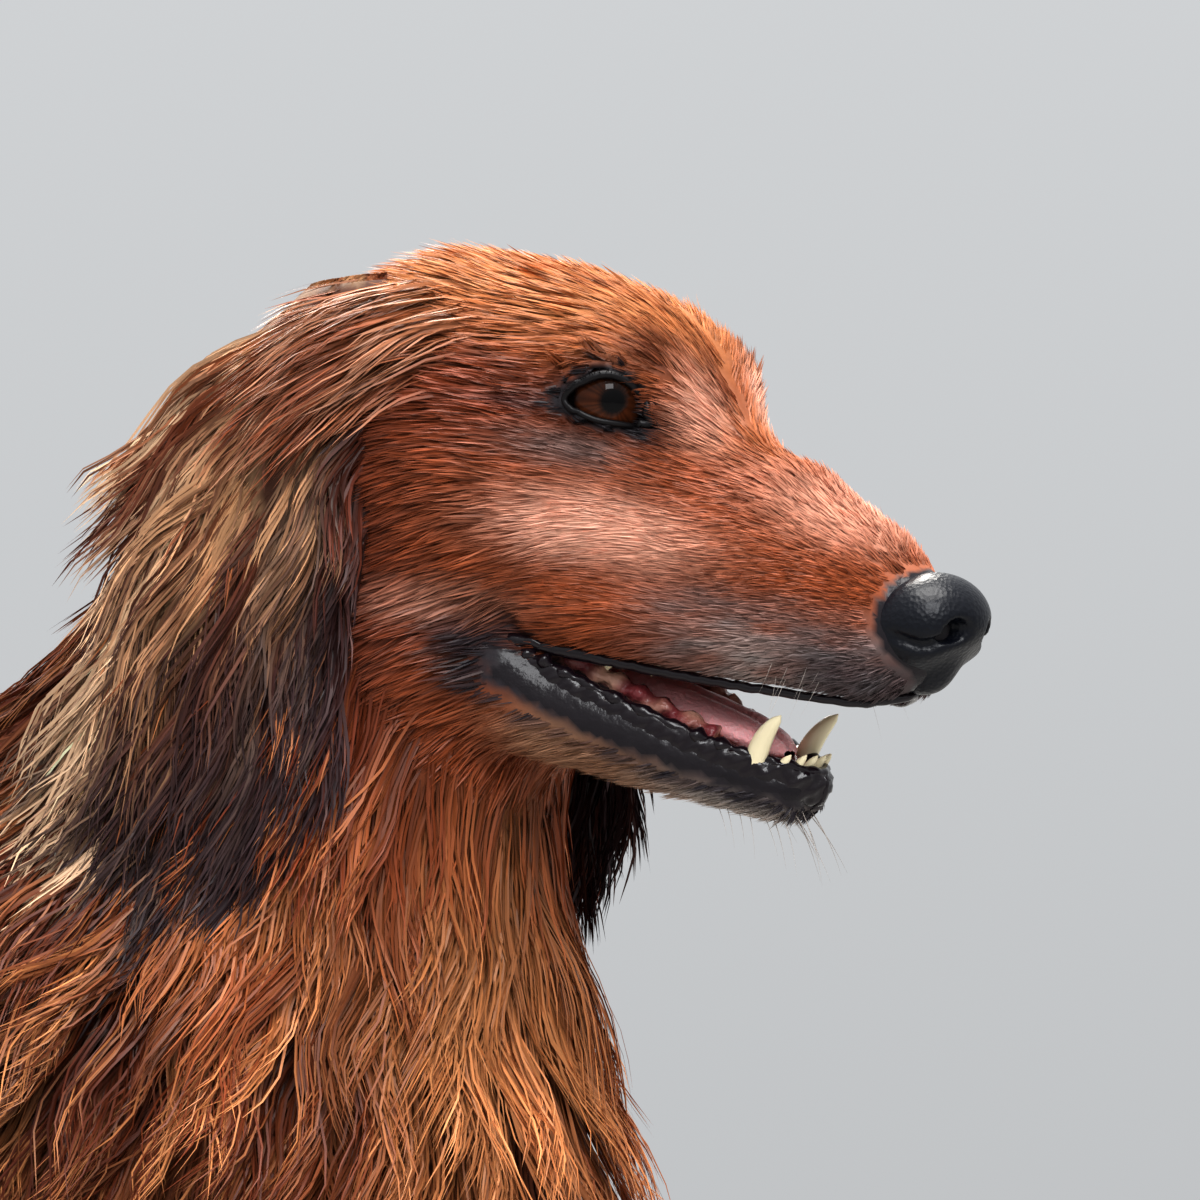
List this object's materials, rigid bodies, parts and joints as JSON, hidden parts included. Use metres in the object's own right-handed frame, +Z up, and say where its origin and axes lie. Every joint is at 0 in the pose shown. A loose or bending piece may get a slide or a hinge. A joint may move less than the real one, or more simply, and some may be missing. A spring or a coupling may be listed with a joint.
{
  "type": "standing long-haired dachshund, life-size museum-like model",
  "caption": "Life-size long-haired dachshund standing still on four legs, head turned slightly to its right, mouth open, with a feathered coat.",
  "frame": {"origin": "middle of the plan outline of the whole animal, on the floor under its soles", "axes": "+X from the tail towards the chest, +Y to the animal's left, +Z up"},
  "size_m": [0.7818, 0.19, 0.3843],
  "materials": {
    "coat": "long soft red hair with a slight sheen",
    "coat_ear": "long wavy hair, red brown with blond and dark streaks",
    "coat_muzzle": "short greying hair, wet dark lip and cream teeth",
    "nose_leather": "moist blue-black leather",
    "eye": "wet, polished dark brown",
    "tongue": "moist pink"
  },
  "bodies": {
    "root": {"head": "coat", "nose": "nose_leather", "jaw": "coat_muzzle", "tongue": "tongue", "eye_left": "eye", "eye_right": "eye", "ear_left": "coat_ear", "ear_right": "coat_ear", "neck": "coat", "torso": "coat", "foreleg_left": "coat", "foreleg_right": "coat", "hindleg_left": "coat", "hindleg_right": "coat", "front_paw_left": "coat", "front_paw_right": "coat", "hind_paw_left": "coat", "hind_paw_right": "coat", "tail": "coat"}
  },
  "joints": []
}
